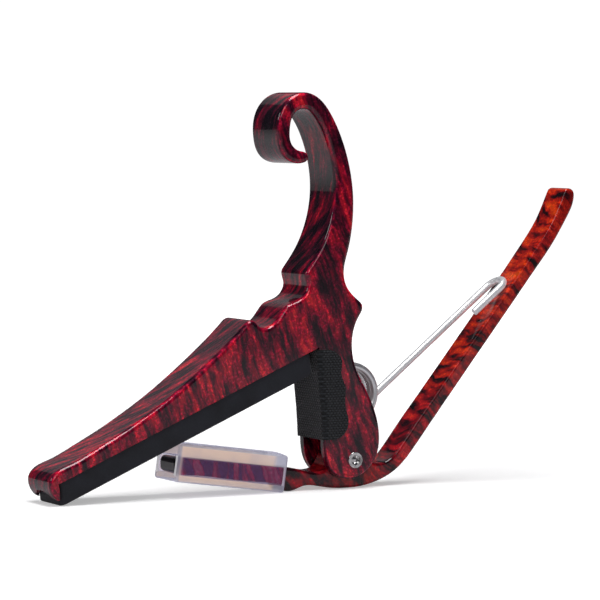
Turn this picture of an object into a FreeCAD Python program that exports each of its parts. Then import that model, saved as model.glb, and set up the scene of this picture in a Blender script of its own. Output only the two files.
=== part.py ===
import FreeCAD, Part
import math
import os

V = FreeCAD.Vector

# ---------------------------------------------------------------------------
# Quick-change guitar capo, closed and standing on its jaws.  Millimetres.
# +X runs from the nose of the upper arm towards the squeeze handle, +Y is the
# thickness of the castings, +Z is up.  Mid-plane of the castings is y = 0.
# ---------------------------------------------------------------------------

# upper casting
FRAME_W = 11.4          # width across the casting
FRAME_R = 0.9           # rounding of its long edges
SEAT_K = 0.428          # slope of the pad seat
SEAT_C = 31.18          # height of the seat line at x = 0
SLOT_HALF = 3.6         # half width of the fork slot
SLOT_ROOF = 30.0        # top of the fork slot
WEB_TOP_Z = 10.6        # below this the slot is open on the left as well
WEB_X = 1.4             # right face of the web that closes the slot's left side
LIP_ARCH_R = 7.8        # relief arch under the nose lip
LIP_BOTTOM_Z = 1.55
LIP_ARCH_H = 1.3

# pivot
PIVOT_X, PIVOT_Z = 6.9, 6.2
EAR_HOLE_R = 1.50
SHANK_R = 1.49
LEVER_BORE_R = 1.55
HEAD_R = 2.2
HEAD_T = 0.7
RIM_R = 1.72
RIM_T = 0.3
RECESS_R = 1.1
RECESS_DEPTH = 0.8

# lower casting
LEVER_W = 7.0
LEVER_R = 0.6
HORN_W = 2.9            # spur that keeps the spring loop on the handle

# rubber pad under the upper arm
PAD_HALF = 5.45
PAD_C = 26.16           # height of the pad's contact line at x = 0
PAD_EDGE_R = 0.5
PAD_END_R = 1.5

# silicone sleeve on the lower jaw
SLEEVE_AX, SLEEVE_AZ = -20.6, 4.88      # point on the jaw bar's axis
SLEEVE_DX, SLEEVE_DZ = 0.9905, -0.1376  # direction of that axis
SLEEVE_U0, SLEEVE_U1 = -14.45, 11.30
SLEEVE_W0, SLEEVE_W1 = -3.38, 4.32
SLEEVE_CROWN = 0.45
SLEEVE_HALF = 5.1
SLEEVE_R = 0.6
SLEEVE_HOLE_W = 7.16
SLEEVE_HOLE_H = 3.94

# torsion spring
WIRE_D = 1.6
COIL_X, COIL_Z = 8.1, 20.0
COIL_R = 5.8            # mean radius
COIL_PITCH = 1.64
COIL_Y0 = -2.48
COIL_TURNS = 2.0
COIL_LEG = 8.5          # upright leg that bears on the fork
ARM_Y = 2.5
ARM_ANGLE = -51.8       # angle on the coil where the straight arm leaves
ARM_LENGTH = 45.0       # from there to the outside of the loop's bend
ARM_RETURN = 34.2       # how far back the returned leg ends
ARM_RING_DEG = 320.0

# woven guard on the fork
GUARD_T = 0.45
GUARD_R = 1.2

FRAME_OUTLINE = [
    (-61.50, 1.12), (-60.10, 1.62), (-57.60, 3.25),
    (-55.00, 4.65), (-50.30, 6.77), (-44.83, 9.10), (-39.35, 11.42),
    (-33.88, 13.75), (-28.36, 16.09), (-22.87, 18.41), (-17.39, 20.72), (-11.91, 23.03), (-6.39, 25.24),
    (-3.55, 25.78), (-2.98, 25.60), (-1.96, 24.58), (-1.53, 22.54), (-0.85, 16.62), (-0.43, 10.64),
    (0.38, 5.88), (1.96, 3.61), (4.40, 2.39), (7.42, 2.43), (10.41, 3.98), (12.52, 6.86),
    (13.17, 10.67), (12.10, 16.10), (9.83, 20.99), (7.05, 26.18), (6.27, 31.43), (7.83, 36.45),
    (8.71, 38.34), (8.61, 38.97), (7.68, 39.99), (4.79, 43.00), (4.08, 45.58), (5.00, 50.33),
    (6.07, 56.17), (6.16, 62.11), (5.24, 67.99), (3.42, 73.64), (0.68, 78.97), (-2.44, 82.44),
    (-5.01, 83.49), (-7.96, 83.18), (-10.30, 81.68), (-12.12, 78.67), (-12.39, 74.17), (-11.27, 70.78),
    (-9.90, 69.49), (-8.30, 68.88), (-7.20, 68.74), (-6.10, 68.86), (-5.24, 69.24), (-4.88, 70.00),
    (-5.16, 70.76), (-5.92, 71.20), (-6.98, 71.40), (-8.02, 71.92), (-8.87, 72.85), (-9.29, 75.89), (-8.62, 78.54), (-7.53, 79.68),
    (-6.26, 80.10), (-5.00, 79.87), (-3.53, 78.70), (-0.80, 74.17), (0.97, 68.45), (1.47, 62.54),
    (0.50, 56.69), (-1.73, 51.29), (-4.72, 46.95), (-5.31, 45.95), (-5.22, 44.75), (-4.85, 43.30),
    (-5.28, 41.87), (-6.86, 40.37), (-9.80, 39.14), (-11.03, 37.79), (-13.56, 35.14), (-14.97, 34.67),
    (-15.98, 34.89), (-17.23, 35.96), (-17.93, 36.33), (-18.48, 36.31), (-20.00, 35.21), (-24.35, 31.14),
    (-28.90, 27.31), (-33.61, 23.59), (-38.43, 20.10), (-43.43, 16.89), (-48.56, 13.87), (-53.82, 11.10),
    (-59.22, 8.48), (-63.31, 6.39), (-63.90, 5.50), (-64.07, 4.46), (-63.73, 3.02), (-62.85, 1.70),
]

LEVER_OUTLINE = [
    (7.99, 0.06), (13.72, 1.06), (19.07, 3.72), (23.30, 8.08), (27.67, 13.49), (32.04, 18.83),
    (36.45, 24.20), (40.86, 29.58), (45.26, 34.95), (49.67, 40.33), (54.06, 45.72), (58.40, 51.15),
    (61.93, 56.58), (63.98, 61.51), (63.91, 62.35), (63.59, 62.91), (62.94, 63.27), (62.15, 63.30),
    (61.51, 63.03), (61.08, 62.37), (58.18, 56.39), (54.21, 50.81), (49.91, 45.36), (45.52, 40.03),
    (41.09, 34.67), (36.67, 29.31), (32.24, 23.95), (27.81, 18.60), (23.37, 13.25), (19.04, 7.81),
    (16.71, 5.60), (14.11, 4.97), (12.36, 5.30), (11.08, 6.48), (9.33, 9.02), (7.69, 9.84),
    (5.86, 9.77), (4.28, 8.85), (2.07, 5.41), (0.91, 4.19), (-0.13, 3.86), (-5.38, 4.58),
    (-12.26, 5.56), (-19.15, 6.47), (-26.04, 7.38), (-32.94, 8.27), (-34.22, 8.27), (-34.62, 7.90),
    (-34.86, 6.35), (-34.72, 5.55), (-34.05, 5.02), (-30.42, 4.47), (-23.53, 3.50), (-16.65, 2.52),
    (-10.10, 1.59), (-9.50, 1.32), (-9.14, 0.68), (-8.68, 0.18), (-8.05, 0.04), (-6.35, 0.25),
    (-4.32, 0.90), (1.05, 0.42),
]

# left edge of the fork's ears, top to bottom
EAR_LEFT = [(-2.15, 30.26), (-1.95, 27.8), (-1.72, 25.0), (-1.60, 23.4)]
GUARD_LEFT = [(-2.13, 29.8), (-1.90, 27.0), (-1.68, 24.6), (-1.45, 22.0), (-1.15, 19.4),
              (-0.87, 16.9), (-0.65, 14.3), (-0.50, 12.0), (-0.42, 10.7)]
GUARD_FLAP = [(-0.8, 10.75), (1.7, 10.85), (3.7, 11.7), (4.8, 13.4), (4.9, 14.9), (4.1, 17.9),
              (4.0, 22.2), (3.1, 24.4), (3.1, 27.7), (1.9, 29.0), (-0.3, 29.75)]

HORN = [(40.0, 32.0), (39.9, 36.2), (40.7, 38.1), (42.7, 40.9), (44.1, 43.1), (44.75, 43.75),
        (45.2, 43.4), (44.95, 42.2), (44.6, 40.4), (44.1, 38.2), (44.6, 37.4), (42.4, 33.4)]


def prism(points, y0, y1):
    """Straight prism of an (x, z) polygon from y0 to y1."""
    pts = [V(x, y0, z) for x, z in points]
    wire = Part.makePolygon(pts + [pts[0]])
    solid = Part.Face(wire).extrude(V(0, y1 - y0, 0))
    return Part.makeSolid(solid) if solid.ShapeType != "Solid" else solid


def smooth_slab(points, half, radius, spans):
    """Slab with a smooth closed outline and rounded front and back edges."""
    curve = Part.BSplineCurve()
    curve.interpolate(Points=[V(x, -half, z) for x, z in points], PeriodicFlag=True)
    t0, t1 = curve.FirstParameter, curve.LastParameter
    edges = []
    for k in range(spans):
        piece = curve.copy()
        piece.segment(t0 + (t1 - t0) * k / spans, t0 + (t1 - t0) * (k + 1) / spans)
        edges.append(piece.toShape())
    face = Part.Face(Part.Wire(edges))
    solid = face.extrude(V(0, 2 * half, 0))
    if solid.ShapeType != "Solid":
        solid = Part.makeSolid(solid)
    rims = [e for e in solid.Edges if e.BoundBox.YLength < 1e-3]
    return solid.makeFillet(radius, rims)


def box(x0, x1, y0, y1, z0, z1):
    return Part.makeBox(x1 - x0, y1 - y0, z1 - z0, V(x0, y0, z0))


def cyl_y(x, z, r, y0, y1):
    return Part.makeCylinder(r, y1 - y0, V(x, y0, z), V(0, 1, 0))


def one_solid(shape, name):
    shape = shape.removeSplitter() if hasattr(shape, "removeSplitter") else shape
    solids = shape.Solids
    solids.sort(key=lambda s: -s.Volume)
    out = solids[0]
    if len(solids) > 1:
        print(name, "extra solids", [round(s.Volume, 4) for s in solids[1:]])
    return out


# --- upper casting ---------------------------------------------------------
half = FRAME_W / 2
blank = smooth_slab(FRAME_OUTLINE, half, FRAME_R, 24)

seat_left = (-62.25, SEAT_K * -62.25 + SEAT_C)
pocket = prism([seat_left, (-61.85, 1.6), (-61.3, -2.0), (-8.0, -2.0), (-4.0, 20.0)]
               + EAR_LEFT[::-1], -half - 2, half + 2)
body = blank.cut(pocket)
guard_core = body.copy()

# relief arch under the nose lip, leaving two short prongs
arch = Part.makeCylinder(LIP_ARCH_R, 6.0,
                         V(-66.0, 0, LIP_BOTTOM_Z + LIP_ARCH_H - LIP_ARCH_R), V(1, 0, 0))
body = body.cut(arch.common(box(-66, -61.0, -4.3, 4.3, -2, 6)))

# fork slot: open below, closed on the left by a web above the pivot
body = body.cut(box(-4.0, 16.0, -SLOT_HALF, SLOT_HALF, -1.0, WEB_TOP_Z))
body = body.cut(box(WEB_X, 16.0, -SLOT_HALF, SLOT_HALF, WEB_TOP_Z - 0.5, SLOT_ROOF))
body = body.cut(cyl_y(PIVOT_X, PIVOT_Z, EAR_HOLE_R, -half - 1, half + 1))
frame_casting = one_solid(body, "frame_casting")

# --- rubber string pad -----------------------------------------------------
pad_pts = [(-62.2, SEAT_K * -62.2 + SEAT_C), (-61.55, SEAT_K * -61.55 + PAD_C),
           (-3.1, SEAT_K * -3.1 + PAD_C), (-3.9, SEAT_K * -3.9 + SEAT_C)]
pad = prism(pad_pts, -PAD_HALF, PAD_HALF)
ends = [e for e in pad.Edges
        if e.BoundBox.YLength < 1e-3 and e.Length < 6.0]
pad = pad.makeFillet(PAD_END_R, ends)
low = []
for e in pad.Edges:
    c = e.CenterOfMass
    if abs(c.z - (SEAT_K * c.x + PAD_C)) < 0.05:
        low.append(e)
pad = pad.makeFillet(PAD_EDGE_R, low)
string_pad = one_solid(pad, "string_pad")

# --- woven guard -----------------------------------------------------------
left_curve = [(x - GUARD_T, z) for x, z in GUARD_LEFT]
g_left = Part.BSplineCurve()
g_left.interpolate([V(x, -half - GUARD_T, z) for x, z in left_curve])
g_flap = Part.BSplineCurve()
g_flap.interpolate([V(x, -half - GUARD_T, z) for x, z in GUARD_FLAP])
p_lt = V(left_curve[0][0], -half - GUARD_T, left_curve[0][1])
p_lb = V(left_curve[-1][0], -half - GUARD_T, left_curve[-1][1])
p_fb = V(GUARD_FLAP[0][0], -half - GUARD_T, GUARD_FLAP[0][1])
p_ft = V(GUARD_FLAP[-1][0], -half - GUARD_T, GUARD_FLAP[-1][1])
edges = [g_left.toShape()]
if (p_lb - p_fb).Length > 0.02:
    edges.append(Part.LineSegment(p_lb, p_fb).toShape())
edges.append(g_flap.toShape())
edges.append(Part.LineSegment(p_ft, p_lt).toShape())
g_face = Part.Face(Part.Wire(Part.__sortEdges__(edges)))
guard = g_face.extrude(V(0, FRAME_W + 2 * GUARD_T, 0))
if guard.ShapeType != "Solid":
    guard = Part.makeSolid(guard)
rims = []
for e in guard.Edges:
    b = e.BoundBox
    if b.YLength < 1e-3 and b.ZLength > 15 and e.CenterOfMass.x < 0:
        rims.append(e)
guard = guard.makeFillet(GUARD_R, rims)
neck_guard = one_solid(guard.cut(guard_core), "neck_guard")

# --- lower casting: jaw bar, pivot lug, squeeze handle and spring spur ------
lever = smooth_slab(LEVER_OUTLINE, LEVER_W / 2, LEVER_R, 16)
horn = prism(HORN, -HORN_W / 2, HORN_W / 2)
try:
    tall = [e for e in horn.Edges if abs(e.BoundBox.YLength - HORN_W) < 1e-3
            and e.CenterOfMass.z > 43.0]
    horn = horn.makeFillet(0.25, tall)
except Exception as err:
    print("horn tip left sharp", err)
try:
    flat = [e for e in horn.Edges if e.BoundBox.YLength < 1e-3 and e.CenterOfMass.z > 35.5
            and e.CenterOfMass.x < 44.0]
    horn = horn.makeFillet(0.4, flat)
except Exception as err:
    print("horn edges left sharp", err)
lever = lever.fuse(horn)
lever = lever.cut(cyl_y(PIVOT_X, PIVOT_Z, LEVER_BORE_R, -6, 6))
lever_casting = one_solid(lever, "lever_casting")

# --- silicone sleeve over the jaw bar --------------------------------------
D = V(SLEEVE_DX, 0, SLEEVE_DZ)
N = V(-SLEEVE_DZ, 0, SLEEVE_DX)
A0 = V(SLEEVE_AX, 0, SLEEVE_AZ)


def sleeve_pt(u, y, w):
    return A0 + D * u + N * w + V(0, y, 0)


s = SLEEVE_U0
a = sleeve_pt(s, -SLEEVE_HALF, SLEEVE_W0)
b = sleeve_pt(s, -SLEEVE_HALF, SLEEVE_W1)
m = sleeve_pt(s, 0, SLEEVE_W1 + SLEEVE_CROWN)
c = sleeve_pt(s, SLEEVE_HALF, SLEEVE_W1)
d = sleeve_pt(s, SLEEVE_HALF, SLEEVE_W0)
sec = Part.Wire([Part.LineSegment(a, b).toShape(), Part.Arc(b, m, c).toShape(),
                 Part.LineSegment(c, d).toShape(), Part.LineSegment(d, a).toShape()])
sleeve = Part.Face(sec).extrude(D * (SLEEVE_U1 - SLEEVE_U0))
if sleeve.ShapeType != "Solid":
    sleeve = Part.makeSolid(sleeve)
sleeve = sleeve.makeFillet(SLEEVE_R, sleeve.Edges)
hy, hw = SLEEVE_HOLE_W / 2, SLEEVE_HOLE_H / 2
q = [sleeve_pt(s - 2, -hy, -hw), sleeve_pt(s - 2, hy, -hw), sleeve_pt(s - 2, hy, hw),
     sleeve_pt(s - 2, -hy, hw)]
bore = Part.Face(Part.makePolygon(q + [q[0]])).extrude(D * (SLEEVE_U1 - SLEEVE_U0 + 4))
long_edges = [e for e in bore.Edges if e.Length > 20]
bore = bore.makeFillet(LEVER_R, long_edges)
jaw_sleeve = one_solid(sleeve.cut(bore), "jaw_sleeve")

# --- torsion spring, the half that stays with the upper casting ------------
rw = WIRE_D / 2


def pipe(path_edges, start, direction):
    wire = Part.Wire(path_edges)
    ring = Part.Wire([Part.makeCircle(rw, start, direction)])
    return wire.makePipeShell([ring], True, True)


# each half turn is a plane arc leaning by half the pitch, so the turns join
# smoothly at the coil's left and right sides, where the wire runs upright
left_x, right_x = COIL_X - COIL_R, COIL_X + COIL_R
path = [Part.LineSegment(V(left_x, COIL_Y0, COIL_Z + COIL_LEG), V(left_x, COIL_Y0, COIL_Z)).toShape()]
y = COIL_Y0
for k in range(int(2 * COIL_TURNS)):
    y_next = y + COIL_PITCH / 2
    y_mid = (y + y_next) / 2
    rise = math.hypot(COIL_R, COIL_PITCH / 4)
    if k % 2 == 0:
        arc = Part.Arc(V(left_x, y, COIL_Z), V(COIL_X, y_mid, COIL_Z - rise), V(right_x, y_next, COIL_Z))
    else:
        arc = Part.Arc(V(right_x, y, COIL_Z), V(COIL_X, y_mid, COIL_Z + rise), V(left_x, y_next, COIL_Z))
    path.append(arc.toShape())
    y = y_next
coil = pipe(path, V(left_x, COIL_Y0, COIL_Z + COIL_LEG), V(0, 0, -1))
if coil.ShapeType != "Solid":
    coil = Part.makeSolid(coil)
spring_coil = one_solid(coil, "spring_coil")

# --- torsion spring, the half that moves with the handle -------------------
ang = math.radians(ARM_ANGLE)
K = V(COIL_X, ARM_Y, COIL_Z)
tangent = K + V(math.cos(ang), 0, math.sin(ang)) * COIL_R
dirn = V(-math.sin(ang), 0, math.cos(ang))
a_start = ang - math.radians(ARM_RING_DEG)
a_mid = ang - math.radians(ARM_RING_DEG / 2)
p_start = K + V(math.cos(a_start), 0, math.sin(a_start)) * COIL_R
p_mid = K + V(math.cos(a_mid), 0, math.sin(a_mid)) * COIL_R
bend_c = ARM_LENGTH - ARM_Y
p1 = tangent + dirn * bend_c
p2 = p1 - V(0, 2 * ARM_Y, 0)
apex = tangent + dirn * ARM_LENGTH - V(0, ARM_Y, 0)
p3 = p2 - dirn * (bend_c - ARM_RETURN)
path = [Part.Arc(p_start, p_mid, tangent).toShape(),
        Part.LineSegment(tangent, p1).toShape(),
        Part.Arc(p1, apex, p2).toShape(),
        Part.LineSegment(p2, p3).toShape()]
t_start = V(-math.sin(a_start), 0, math.cos(a_start))
arm = pipe(path, p_start, t_start)
spring_arm = one_solid(arm, "spring_arm")

# --- pivot rivet -----------------------------------------------------------
rivet = cyl_y(PIVOT_X, PIVOT_Z, SHANK_R, -half - 0.02, half + 0.02)
rim = cyl_y(PIVOT_X, PIVOT_Z, RIM_R, -half - RIM_T, -half)
rim = rim.makeFillet(0.14, [e for e in rim.Edges if abs(e.CenterOfMass.y + half + RIM_T) < 1e-3])
head = cyl_y(PIVOT_X, PIVOT_Z, HEAD_R, half, half + HEAD_T)
head = head.makeFillet(0.5, [e for e in head.Edges if abs(e.CenterOfMass.y - half - HEAD_T) < 1e-3])
rivet = rivet.fuse([rim, head])
rivet = rivet.cut(cyl_y(PIVOT_X, PIVOT_Z, RECESS_R, -half - RIM_T - 1, -half - RIM_T + RECESS_DEPTH))
dome_r = 1.6
dome = Part.makeSphere(dome_r, V(PIVOT_X, -half - RIM_T + RECESS_DEPTH + dome_r - 0.35, PIVOT_Z))
rivet = rivet.fuse(dome.common(cyl_y(PIVOT_X, PIVOT_Z, 0.95, -half - RIM_T, 0)))
pivot_rivet = one_solid(rivet, "pivot_rivet")

# --- output ----------------------------------------------------------------
os.makedirs("parts", exist_ok=True)
nodes = {
    "frame_casting": frame_casting,
    "string_pad": string_pad,
    "neck_guard": neck_guard,
    "lever_casting": lever_casting,
    "jaw_sleeve": jaw_sleeve,
    "spring_coil": spring_coil,
    "spring_arm": spring_arm,
    "pivot_rivet": pivot_rivet,
}
for name, shape in nodes.items():
    bb = shape.BoundBox
    print("%-14s valid=%s vol=%.1f  x %.2f..%.2f  y %.2f..%.2f  z %.2f..%.2f" % (
        name, shape.isValid(), shape.Volume, bb.XMin, bb.XMax, bb.YMin, bb.YMax,
        bb.ZMin, bb.ZMax))
    shape.exportStep("parts/" + name + ".step")
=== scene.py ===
import math

import bpy
from mathutils import Matrix, Vector

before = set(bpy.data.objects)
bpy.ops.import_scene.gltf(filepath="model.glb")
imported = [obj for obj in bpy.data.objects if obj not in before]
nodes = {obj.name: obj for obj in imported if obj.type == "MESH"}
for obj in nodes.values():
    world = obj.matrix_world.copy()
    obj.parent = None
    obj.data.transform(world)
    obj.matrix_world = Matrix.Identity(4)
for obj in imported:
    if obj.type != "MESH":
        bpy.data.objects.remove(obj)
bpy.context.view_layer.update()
scene = bpy.context.scene


# ---------------------------------------------------------------------------
# node helpers
# ---------------------------------------------------------------------------
class Mat:
    """Small wrapper that builds a node material step by step."""

    def __init__(self, name):
        self.mat = bpy.data.materials.new(name)
        self.mat.use_nodes = True
        self.nt = self.mat.node_tree
        self.nt.nodes.clear()
        self.out = self.nt.nodes.new("ShaderNodeOutputMaterial")
        self.coord = self.nt.nodes.new("ShaderNodeTexCoord")
        self.geo = self.nt.nodes.new("ShaderNodeNewGeometry")

    def node(self, kind, **props):
        n = self.nt.nodes.new(kind)
        for k, v in props.items():
            setattr(n, k, v)
        return n

    def link(self, a, b):
        self.nt.links.new(a, b)

    def put(self, sock, value):
        if isinstance(value, bpy.types.NodeSocket):
            self.link(value, sock)
        else:
            sock.default_value = value

    def math(self, op, a, b=None, c=None, clamp=False):
        n = self.node("ShaderNodeMath", operation=op, use_clamp=clamp)
        self.put(n.inputs[0], a)
        if b is not None:
            self.put(n.inputs[1], b)
        if c is not None:
            self.put(n.inputs[2], c)
        return n.outputs[0]

    def vmath(self, op, a, b=None):
        n = self.node("ShaderNodeVectorMath", operation=op)
        self.put(n.inputs[0], a)
        if b is not None:
            self.put(n.inputs[1], b)
        return n.outputs["Value"] if op in ("DOT_PRODUCT", "LENGTH") else n.outputs["Vector"]

    def dot(self, vec, axis):
        return self.vmath("DOT_PRODUCT", vec, axis)

    def combine(self, x, y, z):
        n = self.node("ShaderNodeCombineXYZ")
        for s, v in zip(n.inputs, (x, y, z)):
            self.put(s, v)
        return n.outputs[0]

    def separate(self, v):
        n = self.node("ShaderNodeSeparateXYZ")
        self.put(n.inputs[0], v)
        return n.outputs

    def noise(self, vec, scale=1.0, detail=2.0, rough=0.5, distortion=0.0, color=False):
        n = self.node("ShaderNodeTexNoise")
        self.put(n.inputs["Vector"], vec)
        n.inputs["Scale"].default_value = scale
        n.inputs["Detail"].default_value = detail
        n.inputs["Roughness"].default_value = rough
        n.inputs["Distortion"].default_value = distortion
        return n.outputs["Color" if color else "Fac"]

    def voronoi(self, vec, scale=1.0, out="Color", feature="F1"):
        n = self.node("ShaderNodeTexVoronoi", feature=feature)
        self.put(n.inputs["Vector"], vec)
        n.inputs["Scale"].default_value = scale
        return n.outputs[out]

    def ramp(self, fac, stops, interp="LINEAR"):
        n = self.node("ShaderNodeValToRGB")
        self.put(n.inputs[0], fac)
        cr = n.color_ramp
        cr.interpolation = interp
        while len(cr.elements) > 1:
            cr.elements.remove(cr.elements[-1])
        cr.elements[0].position = stops[0][0]
        cr.elements[0].color = tuple(stops[0][1]) + (1,)
        for pos, col in stops[1:]:
            e = cr.elements.new(pos)
            e.color = tuple(col) + (1,)
        return n.outputs[0]

    def remap(self, v, a, b, c=0.0, d=1.0, smooth=True):
        n = self.node("ShaderNodeMapRange", interpolation_type="SMOOTHSTEP" if smooth else "LINEAR")
        self.put(n.inputs["Value"], v)
        n.inputs["From Min"].default_value = a
        n.inputs["From Max"].default_value = b
        n.inputs["To Min"].default_value = c
        n.inputs["To Max"].default_value = d
        return n.outputs["Result"]

    def mix(self, fac, a, b, blend="MIX"):
        n = self.node("ShaderNodeMix", data_type="RGBA", blend_type=blend)
        self.put(n.inputs[0], fac)
        self.put(n.inputs[6], a if isinstance(a, bpy.types.NodeSocket) else tuple(a) + (1,))
        self.put(n.inputs[7], b if isinstance(b, bpy.types.NodeSocket) else tuple(b) + (1,))
        return n.outputs[2]

    def lerp(self, fac, a, b):
        n = self.node("ShaderNodeMix", data_type="FLOAT")
        self.put(n.inputs[0], fac)
        self.put(n.inputs[2], a)
        self.put(n.inputs[3], b)
        return n.outputs[0]

    def bump(self, height, strength, distance, normal=None):
        n = self.node("ShaderNodeBump")
        n.inputs["Strength"].default_value = strength
        n.inputs["Distance"].default_value = distance
        self.put(n.inputs["Height"], height)
        if normal is not None:
            self.put(n.inputs["Normal"], normal)
        return n.outputs[0]

    def principled(self, **values):
        n = self.node("ShaderNodeBsdfPrincipled")
        for k, v in values.items():
            self.put(n.inputs[k], v)
        return n

    def finish(self, shader):
        self.link(shader, self.out.inputs["Surface"])
        return self.mat


def srgb(r, g, b):
    def f(c):
        c /= 255.0
        return c / 12.92 if c <= 0.04045 else ((c + 0.055) / 1.055) ** 2.4
    return (f(r), f(g), f(b))


def shift(m, vec, amount, scale, detail=2.0, seed=0.0):
    """Pushes coordinates about with a smooth noise, in metres."""
    moved = m.vmath("ADD", vec, (seed, seed * 0.7, seed * 1.3))
    n = m.noise(moved, scale=scale, detail=detail, color=True)
    n = m.vmath("SUBTRACT", n, (0.5, 0.5, 0.5))
    sc = m.node("ShaderNodeVectorMath", operation="SCALE")
    m.link(n, sc.inputs[0])
    sc.inputs["Scale"].default_value = amount
    return m.vmath("ADD", vec, sc.outputs["Vector"])


def streaks(m, vec, across, along, third, f_across, f_along, f_third, seed, detail=2.5, rough=0.55):
    """Noise drawn out along one axis: the frequencies are in cycles per metre."""
    c = m.combine(m.math("MULTIPLY", m.dot(vec, across), f_across),
                  m.math("MULTIPLY", m.dot(vec, along), f_along),
                  m.math("MULTIPLY", m.dot(vec, third), f_third))
    c = m.vmath("ADD", c, (seed, seed * 0.37, seed * 0.71))
    return m.noise(c, scale=1.0, detail=detail, rough=rough)


def unit(x, y, z):
    v = Vector((x, y, z)).normalized()
    return (v.x, v.y, v.z)


# ---------------------------------------------------------------------------
# printed flame finish of the two castings
# ---------------------------------------------------------------------------
def frame_finish():
    m = Mat("printed_flame_red")
    p = m.coord.outputs["Object"]
    pos = m.separate(p)
    nrm = m.separate(m.coord.outputs["Normal"])
    facing = m.remap(m.math("ABSOLUTE", nrm[1]), 0.55, 0.85)

    wav = shift(m, p, 0.0011, 230.0, 2.0, 0.3)
    wav = shift(m, wav, 0.0040, 42.0, 1.0, 1.1)
    # front and back: streaks that lean forward as they fall
    front = streaks(m, wav, unit(0.93, 0, 0.36), unit(0.36, 0, -0.93), (0, 1, 0), 620, 120, 90, 3.1)
    front_b = streaks(m, wav, unit(0.93, 0, 0.36), unit(0.36, 0, -0.93), (0, 1, 0), 1500, 330, 260, 8.7, 3.0, 0.6)
    # edges: streaks that run slantwise along the casting
    edge = streaks(m, wav, unit(0.45, 0.8, 0.25), unit(0.62, -0.62, 0.45), unit(-0.5, 0, 0.86), 640, 130, 120, 5.3)
    edge_b = streaks(m, wav, unit(0.45, 0.8, 0.25), unit(0.62, -0.62, 0.45), unit(-0.5, 0, 0.86), 1200, 260, 250, 2.2, 3.0, 0.6)
    # left-facing surfaces are painted darker by their normal: painted shade
    left = m.remap(nrm[0], -0.35, -0.80)
    edge = m.math("SUBTRACT", edge, m.math("MULTIPLY", left, 0.055))
    base = m.lerp(facing, edge, front)
    fine = m.lerp(facing, edge_b, front_b)
    tone = m.math("ADD", m.math("MULTIPLY", base, 0.72), m.math("MULTIPLY", fine, 0.28))
    # the curl and the upright are redder than the arm's nose
    patch = m.noise(p, scale=55.0, detail=1.0)
    tone = m.math("ADD", tone, m.math("MULTIPLY", m.math("SUBTRACT", patch, 0.5), 0.16))

    color = m.ramp(tone, [
        (0.35, srgb(20, 4, 16)),
        (0.42, srgb(48, 6, 26)),
        (0.48, srgb(90, 8, 36)),
        (0.54, srgb(140, 10, 44)),
        (0.60, srgb(188, 18, 48)),
        (0.69, srgb(240, 42, 54)),
    ])
    # metal flake under the lacquer, and a painted highlight that brightens the fillets
    cell = m.voronoi(p, scale=2600.0, out="Color")
    flake = m.separate(cell)[0]
    flake = m.remap(flake, 0.55, 1.0, 0.0, 1.0)
    grain = m.noise(p, scale=1500.0, detail=2.0)
    gain = m.math("ADD", 0.86, m.math("ADD", m.math("MULTIPLY", flake, 0.95),
                                      m.math("MULTIPLY", m.math("SUBTRACT", grain, 0.5), 0.7)))
    # fillets between the faces and the edges are made half again lighter: painted highlight
    painted_fillet_highlight = m.math("MULTIPLY", m.remap(m.math("ABSOLUTE", nrm[1]), 0.25, 0.6), m.remap(m.math("ABSOLUTE", nrm[1]), 0.97, 0.75))
    gain = m.math("MULTIPLY", gain, m.math("ADD", 1.0, m.math("MULTIPLY", painted_fillet_highlight, 0.5)))
    color = m.mix(1.0, color, m.combine(gain, gain, gain), "MULTIPLY")
    rough = m.remap(grain, 0.3, 0.7, 0.30, 0.46)
    soft = m.noise(p, scale=420.0, detail=1.0)
    s = m.principled(**{
        "Base Color": color, "Metallic": 0.12, "Roughness": rough, "Specular IOR Level": 0.06,
        "Coat Weight": 1.0, "Coat Roughness": 0.035, "Coat IOR": 1.5,
        "Normal": m.bump(grain, 0.10, 0.00004),
        "Coat Normal": m.bump(soft, 0.035, 0.0002),
    })
    return m.finish(s.outputs[0])


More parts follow.
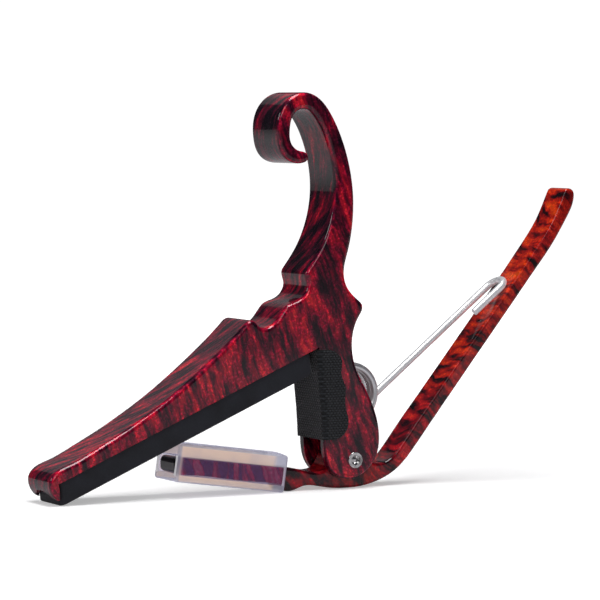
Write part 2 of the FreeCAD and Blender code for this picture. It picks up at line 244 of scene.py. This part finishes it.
def lever_finish():
    m = Mat("printed_flame_orange")
    p = m.coord.outputs["Object"]
    pos = m.separate(p)
    nrm = m.separate(m.coord.outputs["Normal"])
    # distance along the lever: handle right of the pivot, jaw bar left of it
    along_h = m.dot(p, unit(0.638, 0, 0.770))
    # the stripes bow across the inner face and slant on the sides
    bow = m.math("MULTIPLY", m.math("MULTIPLY", pos[1], pos[1]), 70.0)
    wav = shift(m, p, 0.0030, 190.0, 2.0, 0.7)
    wav = shift(m, wav, 0.0045, 70.0, 1.0, 2.1)
    wl = m.math("SUBTRACT", m.dot(wav, unit(0.638, 0, 0.770)), bow)
    wn = m.dot(wav, unit(0.770, 0, -0.638))
    wy = m.dot(wav, (0, 1, 0))
    c1 = m.combine(m.math("MULTIPLY", wl, 520.0),
                   m.math("MULTIPLY", wy, 150.0),
                   m.math("MULTIPLY", m.math("ADD", wn, m.math("MULTIPLY", wl, 0.35)), 170.0))
    c1 = m.vmath("ADD", c1, (4.2, 1.1, 7.7))
    broad = m.noise(c1, scale=1.0, detail=2.0, rough=0.5)
    c2 = m.combine(m.math("MULTIPLY", wl, 760.0),
                   m.math("MULTIPLY", wy, 190.0),
                   m.math("MULTIPLY", wn, 260.0))
    fine = m.noise(c2, scale=1.0, detail=3.0, rough=0.6)
    tone = m.math("ADD", m.math("MULTIPLY", broad, 0.68), m.math("MULTIPLY", fine, 0.32))
    patch = m.noise(p, scale=120.0, detail=2.0)
    orange = m.ramp(tone, [
        (0.36, srgb(20, 3, 8)),
        (0.42, srgb(66, 6, 12)),
        (0.47, srgb(156, 16, 14)),
        (0.53, srgb(214, 40, 14)),
        (0.60, srgb(246, 68, 16)),
        (0.70, srgb(255, 96, 24)),
    ])
    red = m.ramp(tone, [
        (0.36, srgb(18, 3, 10)),
        (0.42, srgb(52, 5, 18)),
        (0.48, srgb(126, 9, 28)),
        (0.55, srgb(196, 20, 38)),
        (0.66, srgb(240, 42, 44)),
    ])
    # orange up the handle, redder low down, on the sides and along the bar
    up = m.remap(along_h, 0.022, 0.052)
    side = m.remap(m.math("ABSOLUTE", nrm[1]), 0.5, 0.9)
    warm = m.math("MULTIPLY", up, m.math("SUBTRACT", 1.0, m.math("MULTIPLY", side, 0.45)))
    warm = m.math("ADD", warm, m.math("MULTIPLY", m.math("SUBTRACT", patch, 0.5), 1.1), clamp=True)
    color = m.mix(warm, red, orange)
    across_bar = streaks(m, wav, unit(0.97, 0, 0.25), unit(-0.25, 0, 0.97), (0, 1, 0), 520, 70, 60, 6.4, 2.0, 0.5)
    bar_tone = m.ramp(across_bar, [
        (0.42, srgb(96, 66, 128)),
        (0.47, srgb(168, 50, 100)),
        (0.52, srgb(255, 62, 106)),
        (0.60, srgb(255, 130, 150)),
    ])
    color = m.mix(m.remap(pos[0], -0.0085, -0.0110), color, bar_tone)
    # the bar's end, tucked inside the sleeve's mouth, is painted near-black: painted shade
    color = m.mix(m.remap(pos[0], -0.0338, -0.0344), color, srgb(24, 10, 12))
    cell = m.separate(m.voronoi(p, scale=2400.0, out="Color"))[0]
    flake = m.remap(cell, 0.55, 1.0, 0.0, 1.0)
    grain = m.noise(p, scale=1400.0, detail=2.0)
    gain = m.math("ADD", 0.80, m.math("ADD", m.math("MULTIPLY", flake, 0.45),
                                      m.math("MULTIPLY", m.math("SUBTRACT", grain, 0.5), 0.6)))
    color = m.mix(1.0, color, m.combine(gain, gain, gain), "MULTIPLY")
    rough = m.remap(grain, 0.3, 0.7, 0.30, 0.46)
    soft = m.noise(p, scale=420.0, detail=1.0)
    s = m.principled(**{
        "Base Color": color, "Metallic": 0.10, "Roughness": rough, "Specular IOR Level": 0.06,
        "Coat Weight": 1.0, "Coat Roughness": 0.035, "Coat IOR": 1.5,
        "Normal": m.bump(grain, 0.10, 0.00004),
        "Coat Normal": m.bump(soft, 0.035, 0.0002),
    })
    return m.finish(s.outputs[0])


def pad_finish():
    m = Mat("black_string_rubber")
    p = m.coord.outputs["Object"]
    haze = m.noise(p, scale=140.0, detail=2.0)
    grain = m.noise(p, scale=3800.0, detail=2.0)
    # faint lengthwise lines left by extrusion
    across = m.dot(p, unit(-0.393, 0, 0.919))
    lines = m.noise(m.combine(m.math("MULTIPLY", across, 2200.0), m.math("MULTIPLY", m.dot(p, (0, 1, 0)), 2200.0),
                              m.math("MULTIPLY", m.dot(p, unit(0.919, 0, 0.393)), 30.0)), scale=1.0, detail=2.0)
    color = m.mix(m.remap(haze, 0.3, 0.7), srgb(27, 28, 34), srgb(38, 40, 48))
    rough = m.remap(grain, 0.25, 0.75, 0.50, 0.66)
    height = m.math("ADD", grain, m.math("MULTIPLY", lines, 0.8))
    s = m.principled(**{
        "Base Color": color, "Roughness": rough, "Specular IOR Level": 0.42,
        "Sheen Weight": 0.15, "Sheen Roughness": 0.4,
        "Normal": m.bump(height, 0.22, 0.00004),
    })
    return m.finish(s.outputs[0])


def guard_finish():
    m = Mat("black_woven_guard")
    p = m.coord.outputs["Object"]
    w = shift(m, p, 0.00012, 900.0, 1.0, 0.2)
    pos = m.separate(w)
    nrm = m.separate(m.coord.outputs["Normal"])
    # thread coordinates: round the fork, and up it
    round_it = m.math("ADD", m.math("MULTIPLY", pos[0], 1.0), m.math("MULTIPLY", pos[1], 1.0))
    pitch_w, pitch_f = 0.00052, 0.00078
    up = m.math("DIVIDE", pos[2], pitch_w)
    row = m.math("FLOOR", up)
    ribs = m.math("ABSOLUTE", m.math("SINE", m.math("MULTIPLY", up, math.pi)))
    stagger = m.math("MULTIPLY", m.math("MODULO", row, 2.0), 0.5)
    across = m.math("ADD", m.math("DIVIDE", round_it, pitch_f), stagger)
    dash = m.math("ABSOLUTE", m.math("SINE", m.math("MULTIPLY", across, math.pi)))
    thread = m.math("MULTIPLY", ribs, m.math("ADD", 0.35, m.math("MULTIPLY", dash, 0.65)))
    fuzz = m.noise(p, scale=5200.0, detail=2.0)
    thread_n = m.math("ADD", thread, m.math("MULTIPLY", m.math("SUBTRACT", fuzz, 0.5), 0.5))
    # over the weave pattern, the ramp darkens the gaps between threads to near-black and lightens the crowns:
    # painted shade in the gaps, painted sheen on the crowns
    color = m.ramp(thread_n, [
        (0.0, srgb(7, 7, 9)),
        (0.45, srgb(19, 20, 23)),
        (0.8, srgb(40, 43, 48)),
        (1.0, srgb(62, 66, 72)),
    ])
    s = m.principled(**{
        "Base Color": color, "Roughness": 0.88, "Specular IOR Level": 0.25,
        "Sheen Weight": 0.35, "Sheen Roughness": 0.5,
        "Normal": m.bump(thread_n, 0.8, 0.00022),
    })
    return m.finish(s.outputs[0])


def sleeve_finish():
    m = Mat("clear_silicone")
    p = m.coord.outputs["Object"]
    nrm = m.separate(m.coord.outputs["Normal"])
    rel = m.vmath("SUBTRACT", p, (-0.0206, 0.0, 0.00488))
    u = m.dot(rel, (0.9905, 0.0, -0.1376))
    w = m.dot(rel, (0.1376, 0.0, 0.9905))
    haze = m.noise(p, scale=260.0, detail=2.0)
    side = m.remap(m.math("ABSOLUTE", nrm[1]), 0.75, 0.97)
    inner = m.math("MULTIPLY", m.remap(u, 0.0088, 0.0076), m.remap(u, -0.01435, -0.0138))
    over_bar = m.math("MULTIPLY", m.remap(m.math("ABSOLUTE", w), 0.00205, 0.00175), m.remap(u, -0.0143, -0.0130))
    over_bar = m.math("MULTIPLY", over_bar, side)
    warm = m.math("MULTIPLY", m.math("MULTIPLY", side, inner), m.math("SUBTRACT", 1.0, over_bar))
    cool = m.mix(m.remap(haze, 0.3, 0.7), srgb(176, 176, 194), srgb(203, 199, 207))
    peach = m.mix(m.remap(haze, 0.3, 0.7), srgb(250, 224, 204), srgb(240, 216, 204))
    color = m.mix(warm, cool, peach)
    color = m.mix(over_bar, color, srgb(190, 130, 176))
    depth = m.separate(p)[1]
    inside = m.remap(m.math("ABSOLUTE", depth), 0.0042, 0.0038)
    # the sleeve's open end is painted near-white on its left-facing rim and made nearly opaque there: painted
    # highlight
    mouth_highlight = m.math("MULTIPLY", m.remap(nrm[0], -0.60, -0.85), m.remap(m.math("ABSOLUTE", w), 0.0023, 0.0019))
    mouth_highlight = m.math("MULTIPLY", mouth_highlight, m.math("MULTIPLY", m.remap(m.math("ABSOLUTE", depth), 0.0033, 0.0035), m.remap(m.math("ABSOLUTE", depth), 0.0046, 0.0042)))
    color = m.mix(mouth_highlight, color, srgb(252, 252, 254))
    # the moulding is thick over the bar, so the bar is seen through a haze
    # emission in the sleeve's own colour makes it glow faintly: painted light standing in for light scattered
    # inside the silicone
    s = m.principled(**{
        "Base Color": color, "Roughness": 0.22, "IOR": 1.41,
        "Emission Color": color, "Emission Strength": 0.50,
        "Coat Weight": 0.3, "Coat Roughness": 0.12,
        "Normal": m.bump(haze, 0.06, 0.0003),
    })
    clear = m.node("ShaderNodeBsdfTransparent")
    m.put(clear.inputs["Color"], m.mix(warm, srgb(222, 222, 232), srgb(240, 226, 222)))
    trans = m.node("ShaderNodeBsdfTranslucent")
    m.put(trans.inputs["Color"], color)
    body = m.node("ShaderNodeMixShader")
    body.inputs[0].default_value = 0.35
    m.link(s.outputs[0], body.inputs[1])
    m.link(trans.outputs[0], body.inputs[2])
    mixs = m.node("ShaderNodeMixShader")
    dens = m.lerp(over_bar, m.lerp(warm, 0.58, 0.66), 0.13)
    dens = m.math("MULTIPLY", dens, m.math("SUBTRACT", 1.0, m.math("MULTIPLY", inside, 0.6)))
    dens = m.lerp(mouth_highlight, dens, 0.92)
    m.put(mixs.inputs[0], dens)
    m.link(clear.outputs[0], mixs.inputs[1])
    m.link(body.outputs[0], mixs.inputs[2])
    return m.finish(mixs.outputs[0])


def wire_finish(name, metal, glint):
    m = Mat(name)
    p = m.coord.outputs["Object"]
    draw = m.noise(m.vmath("MULTIPLY", p, (400.0, 4000.0, 400.0)), scale=1.0, detail=2.0)
    tarnish = m.noise(p, scale=300.0, detail=2.0)
    color = m.mix(m.remap(tarnish, 0.35, 0.7), srgb(252, 252, 253), srgb(232, 233, 236))
    # a faint bluish-white emission makes the wire glow: a painted glint
    s = m.principled(**{
        "Base Color": color, "Metallic": metal,
        "Emission Color": (0.95, 0.96, 1.0, 1.0), "Emission Strength": glint,
        "Roughness": m.remap(tarnish, 0.3, 0.7, 0.26, 0.36),
        "Normal": m.bump(draw, 0.01, 0.00001),
    })
    return m.finish(s.outputs[0])


def rivet_finish():
    m = Mat("polished_rivet")
    p = m.coord.outputs["Object"]
    rel = m.vmath("SUBTRACT", p, (0.0069, 0.0, 0.0062))
    r = m.separate(rel)
    rad = m.math("SQRT", m.math("ADD", m.math("MULTIPLY", r[0], r[0]), m.math("MULTIPLY", r[2], r[2])))
    turned = m.noise(m.combine(m.math("MULTIPLY", rad, 9000.0), 0.0, 0.0), scale=1.0, detail=1.0)
    scuff = m.noise(p, scale=900.0, detail=3.0)
    color = m.mix(m.remap(scuff, 0.4, 0.75), srgb(232, 232, 232), srgb(180, 178, 176))
    s = m.principled(**{
        "Base Color": color, "Metallic": 1.0,
        "Roughness": m.remap(scuff, 0.3, 0.7, 0.12, 0.28),
        "Normal": m.bump(turned, 0.08, 0.00003),
    })
    return m.finish(s.outputs[0])


def dress(name, mat):
    o = nodes[name]
    o.data.materials.clear()
    o.data.materials.append(mat)


dress("frame_casting", frame_finish())
dress("lever_casting", lever_finish())
dress("string_pad", pad_finish())
dress("neck_guard", guard_finish())
dress("jaw_sleeve", sleeve_finish())
dress("spring_coil", wire_finish("spring_wire_coil", 0.85, 0.02))
dress("spring_arm", wire_finish("spring_wire_leg", 0.55, 0.12))
dress("pivot_rivet", rivet_finish())


# ---------------------------------------------------------------------------
# floor, light and camera
# ---------------------------------------------------------------------------
def floor_finish():
    m = Mat("pale_floor")
    p = m.coord.outputs["Object"]
    n = m.noise(p, scale=3.0, detail=1.0)
    color = m.mix(m.remap(n, 0.3, 0.7), (0.88, 0.88, 0.88), (0.90, 0.90, 0.90))
    flat = m.vmath("MULTIPLY", p, (1.0, 1.0, 0.0))
    r = m.vmath("LENGTH", flat)
    glow = m.remap(r, 0.09, 0.42, 0.40, 1.0)
    ahead = m.dot(p, (0.0, -1.0, 0.0))
    thrown = m.math("MULTIPLY", glow, m.remap(ahead, 0.24, 0.40, 0.24, 0.02))
    seen = m.node("ShaderNodeLightPath").outputs["Is Camera Ray"]
    glow = m.lerp(seen, thrown, glow)
    color = m.mix(seen, (0.40, 0.39, 0.41), color)
    s = m.principled(**{"Base Color": color, "Roughness": 0.9, "Specular IOR Level": 0.1,
                        "Emission Color": (1, 1, 1, 1), "Emission Strength": glow})
    return m.finish(s.outputs[0])


bpy.ops.mesh.primitive_plane_add(size=8.0, location=(0, 0, -0.00002))
floor = bpy.context.object
floor.name = "studio_floor"
floor.data.materials.append(floor_finish())


def area(name, loc, target, size, power, color=(1, 1, 1), size_y=None):
    d = bpy.data.lights.new(name, "AREA")
    d.energy = power
    d.color = color
    d.shape = "RECTANGLE" if size_y else "SQUARE"
    d.size = size
    if size_y:
        d.size_y = size_y
    o = bpy.data.objects.new(name, d)
    scene.collection.objects.link(o)
    o.location = loc
    o.rotation_mode = "QUATERNION"
    o.rotation_quaternion = (Vector(target) - Vector(loc)).to_track_quat("-Z", "Y")
    return o


mid = (0.0, 0.0, 0.03)
area("top_box", (-0.02, -0.14, 1.00), mid, 0.42, 8.0, size_y=0.72)
area("left_box", (-1.15, 0.00, 0.62), mid, 0.40, 2.2)
area("back_box", (0.25, 1.30, 0.72), mid, 0.9, 0.20, size_y=0.40)
area("front_fill", (-0.60, -1.20, 0.80), mid, 0.6, 2.7)

world = bpy.data.worlds.new("studio")
scene.world = world
world.use_nodes = True
wn = world.node_tree
wn.nodes.clear()
w_out = wn.nodes.new("ShaderNodeOutputWorld")
lp = wn.nodes.new("ShaderNodeLightPath")
dim = wn.nodes.new("ShaderNodeBackground")
dim.inputs[0].default_value = (0.035, 0.036, 0.045, 1)
dim.inputs[1].default_value = 1.0
pale = wn.nodes.new("ShaderNodeBackground")
pale.inputs[0].default_value = (1, 1, 1, 1)
pale.inputs[1].default_value = 1.05
mx = wn.nodes.new("ShaderNodeMixShader")
wn.links.new(lp.outputs["Is Camera Ray"], mx.inputs[0])
wn.links.new(dim.outputs[0], mx.inputs[1])
wn.links.new(pale.outputs[0], mx.inputs[2])
wn.links.new(mx.outputs[0], w_out.inputs["Surface"])

scene.view_settings.view_transform = "Standard"

cam_data = bpy.data.cameras.new("camera")
cam = bpy.data.objects.new("camera", cam_data)
scene.collection.objects.link(cam)
scene.camera = cam
cam_data.sensor_width = 36.0
cam_data.lens = 186.0
az, el, roll = math.radians(-30.0), math.radians(3.3), math.radians(0.5)
back = Vector((math.sin(az) * math.cos(el), -math.cos(az) * math.cos(el), math.sin(el)))
right = Vector((math.cos(az), math.sin(az), 0.0))
up = back.cross(right)
r2 = right * math.cos(roll) + up * math.sin(roll)
u2 = -right * math.sin(roll) + up * math.cos(roll)
eye = Vector((-0.0036, 0.0, 0.03996)) + back * 0.6526
cam.matrix_world = Matrix(((r2.x, u2.x, back.x, eye.x),
                           (r2.y, u2.y, back.y, eye.y),
                           (r2.z, u2.z, back.z, eye.z),
                           (0, 0, 0, 1)))
cam_data.clip_start, cam_data.clip_end = 0.01, 20.0

bpy.context.view_layer.update()
